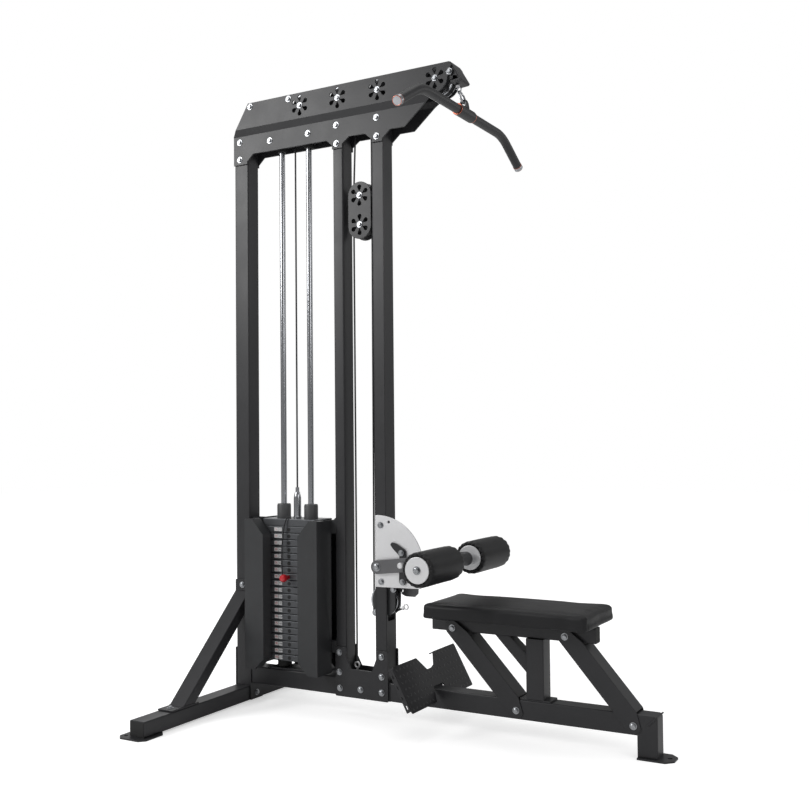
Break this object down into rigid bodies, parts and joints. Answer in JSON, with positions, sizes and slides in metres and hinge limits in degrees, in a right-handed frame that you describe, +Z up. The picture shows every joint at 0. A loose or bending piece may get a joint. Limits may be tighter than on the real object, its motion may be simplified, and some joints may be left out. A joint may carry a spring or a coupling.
{
  "type": "lat pulldown machine",
  "caption": "Lat pulldown and low row machine: steel frame with a selector weight stack, overhead and low pulleys, bench seat, thigh rollers and foot plate",
  "frame": {"origin": "middle of the footprint, on the floor", "axes": "+X runs from the weight stack along the bench, +Y to the left of a person who faces the stack, +Z up"},
  "size_m": [1.583, 1.16, 2.123],
  "materials": {
    "frame_paint": "satin textured black powder coat",
    "panel_paint": "satin dark grey",
    "dark_paint": "satin black",
    "arm_paint": "satin grey",
    "chrome": "polished",
    "zinc": "satin zinc",
    "plate_iron": "satin grey paint",
    "rubber": "matt",
    "rope": "coated wire cable",
    "pulley_plastic": "satin nylon",
    "red_plastic": "gloss",
    "vinyl": "grained black vinyl",
    "board": "black plywood"
  },
  "bodies": {
    "frame": {"cross_foot": "frame_paint", "rear_upright": "frame_paint", "middle_upright": "frame_paint", "front_upright": "frame_paint", "base_tube": "frame_paint", "bench_beam": "frame_paint", "gusset_near": "frame_paint", "gusset_far": "frame_paint", "top_plate_near": "frame_paint", "top_plate_far": "frame_paint", "rear_brace_near": "frame_paint", "rear_brace_far": "frame_paint", "cable_stop": "dark_paint", "shroud_rear": "panel_paint", "shroud_front": "panel_paint", "guide_rod_rear": "chrome", "guide_rod_front": "chrome", "stack_base_plate": "dark_paint", "bumper_rear": "rubber", "bumper_front": "rubber", "rod_top_bracket": "dark_paint", "plates_resting": "plate_iron", "low_pulley_guard": "panel_paint", "anchor_eye": "zinc", "lat_cable_stack_run": "rope", "lat_cable_rear": "rope", "lat_cable_loop": "rope", "lat_cable_front": "rope", "row_cable_loop": "rope", "row_cable_exit": "rope", "quadrant_near": "zinc", "quadrant_far": "zinc", "seat_frame": "frame_paint", "seat_brace_front": "frame_paint", "seat_brace_rear": "frame_paint", "seat_board": "board", "seat_pad": "vinyl", "foot_plate": "frame_paint"},
    "stack": {"head_plate": "plate_iron", "plates_lifted": "plate_iron", "selector_stem": "chrome"},
    "selector_pin": {"selector_pin": "red_plastic"},
    "top_pulley_1": {"top_pulley_1": "pulley_plastic"},
    "top_pulley_2": {"top_pulley_2": "pulley_plastic"},
    "top_pulley_3": {"top_pulley_3": "pulley_plastic"},
    "top_pulley_4": {"top_pulley_4": "pulley_plastic"},
    "float_block": {"float_block": "frame_paint"},
    "float_pulley_upper": {"float_pulley_upper": "pulley_plastic"},
    "float_pulley_lower": {"float_pulley_lower": "pulley_plastic"},
    "low_pulley": {"low_pulley": "pulley_plastic"},
    "bar_cable": {"lat_cable_end": "zinc"},
    "bar": {"carabiner": "chrome", "lat_bar": "dark_paint"},
    "row_cable": {"row_cable_end": "zinc"},
    "thigh_holder": {"thigh_arm": "arm_paint", "roller_shaft": "zinc", "latch_handle": "dark_paint"},
    "roller_near": {"roller_near": "vinyl"},
    "roller_far": {"roller_far": "vinyl"},
    "pop_pin": {"pop_pin": "zinc"}
  },
  "joints": [
    {"name": "stack_lift", "type": "slide", "parent": "frame", "child": "stack", "axis": [0, 0, 1], "range_m": [0, 1.1], "deforming": ["lat_cable_stack_run"]},
    {"name": "pin_pull", "type": "slide", "parent": "stack", "child": "selector_pin", "axis": [0, -1, 0], "range_m": [0, 0.08]},
    {"name": "bar_pull", "type": "slide", "parent": "frame", "child": "bar_cable", "axis": [0.342, 0, -0.9397], "range_m": [0, 1.1]},
    {"name": "bar_swivel", "type": "hinge", "parent": "bar_cable", "child": "bar", "pos_m": [0.13004, 0, 2.0342], "axis": [0.342, 0, -0.9397], "range_deg": [-60, 60]},
    {"name": "top_pulley_1_turn", "type": "hinge", "parent": "frame", "child": "top_pulley_1", "pos_m": [-0.4625, 0, 2.071], "axis": [0, 1, 0], "continuous": true},
    {"name": "top_pulley_2_turn", "type": "hinge", "parent": "frame", "child": "top_pulley_2", "pos_m": [-0.3075, 0, 2.071], "axis": [0, 1, 0], "continuous": true},
    {"name": "top_pulley_3_turn", "type": "hinge", "parent": "frame", "child": "top_pulley_3", "pos_m": [-0.1505, 0, 2.071], "axis": [0, 1, 0], "continuous": true},
    {"name": "top_pulley_4_turn", "type": "hinge", "parent": "frame", "child": "top_pulley_4", "pos_m": [0.0645, 0, 2.071], "axis": [0, 1, 0], "continuous": true},
    {"name": "float_drop", "type": "slide", "parent": "frame", "child": "float_block", "axis": [0, 0, -1], "range_m": [0, 0.4], "deforming": ["lat_cable_loop", "row_cable_loop"]},
    {"name": "float_upper_turn", "type": "hinge", "parent": "float_block", "child": "float_pulley_upper", "pos_m": [-0.2355, 0, 1.735], "axis": [0, 1, 0], "continuous": true},
    {"name": "float_lower_turn", "type": "hinge", "parent": "float_block", "child": "float_pulley_lower", "pos_m": [-0.2355, 0, 1.636], "axis": [0, 1, 0], "continuous": true},
    {"name": "low_pulley_turn", "type": "hinge", "parent": "frame", "child": "low_pulley", "pos_m": [-0.1575, 0, 0.387], "axis": [0, 1, 0], "continuous": true},
    {"name": "row_pull", "type": "slide", "parent": "frame", "child": "row_cable", "axis": [0.9135, 0, 0.4067], "range_m": [0, 0.8]},
    {"name": "thigh_tilt", "type": "hinge", "parent": "frame", "child": "thigh_holder", "pos_m": [-0.1645, 0, 0.5], "axis": [0, 1, 0], "range_deg": [-52, 5]},
    {"name": "roller_near_turn", "type": "hinge", "parent": "thigh_holder", "child": "roller_near", "pos_m": [0.1155, 0, 0.532], "axis": [0, 1, 0], "continuous": true},
    {"name": "roller_far_turn", "type": "hinge", "parent": "thigh_holder", "child": "roller_far", "pos_m": [0.1155, 0, 0.532], "axis": [0, 1, 0], "continuous": true},
    {"name": "pop_pin_pull", "type": "slide", "parent": "thigh_holder", "child": "pop_pin", "axis": [0, -1, 0], "range_m": [0, 0.012], "stiffness_N_per_m": 500, "springref_m": -0.004}
  ],
  "couplings": [
    {"joint": "bar_pull", "follows": "stack_lift", "ratio": 1},
    {"joint": "top_pulley_1_turn", "follows": "stack_lift", "rad_per_m": 20.408},
    {"joint": "top_pulley_2_turn", "follows": "stack_lift", "rad_per_m": 20.408},
    {"joint": "top_pulley_3_turn", "follows": "stack_lift", "rad_per_m": 20.408},
    {"joint": "top_pulley_4_turn", "follows": "stack_lift", "rad_per_m": 20.408},
    {"joint": "float_upper_turn", "follows": "stack_lift", "rad_per_m": -27.778},
    {"joint": "row_pull", "follows": "float_drop", "ratio": 2},
    {"joint": "float_lower_turn", "follows": "float_drop", "rad_per_m": 27.778},
    {"joint": "low_pulley_turn", "follows": "float_drop", "rad_per_m": -43.478}
  ]
}
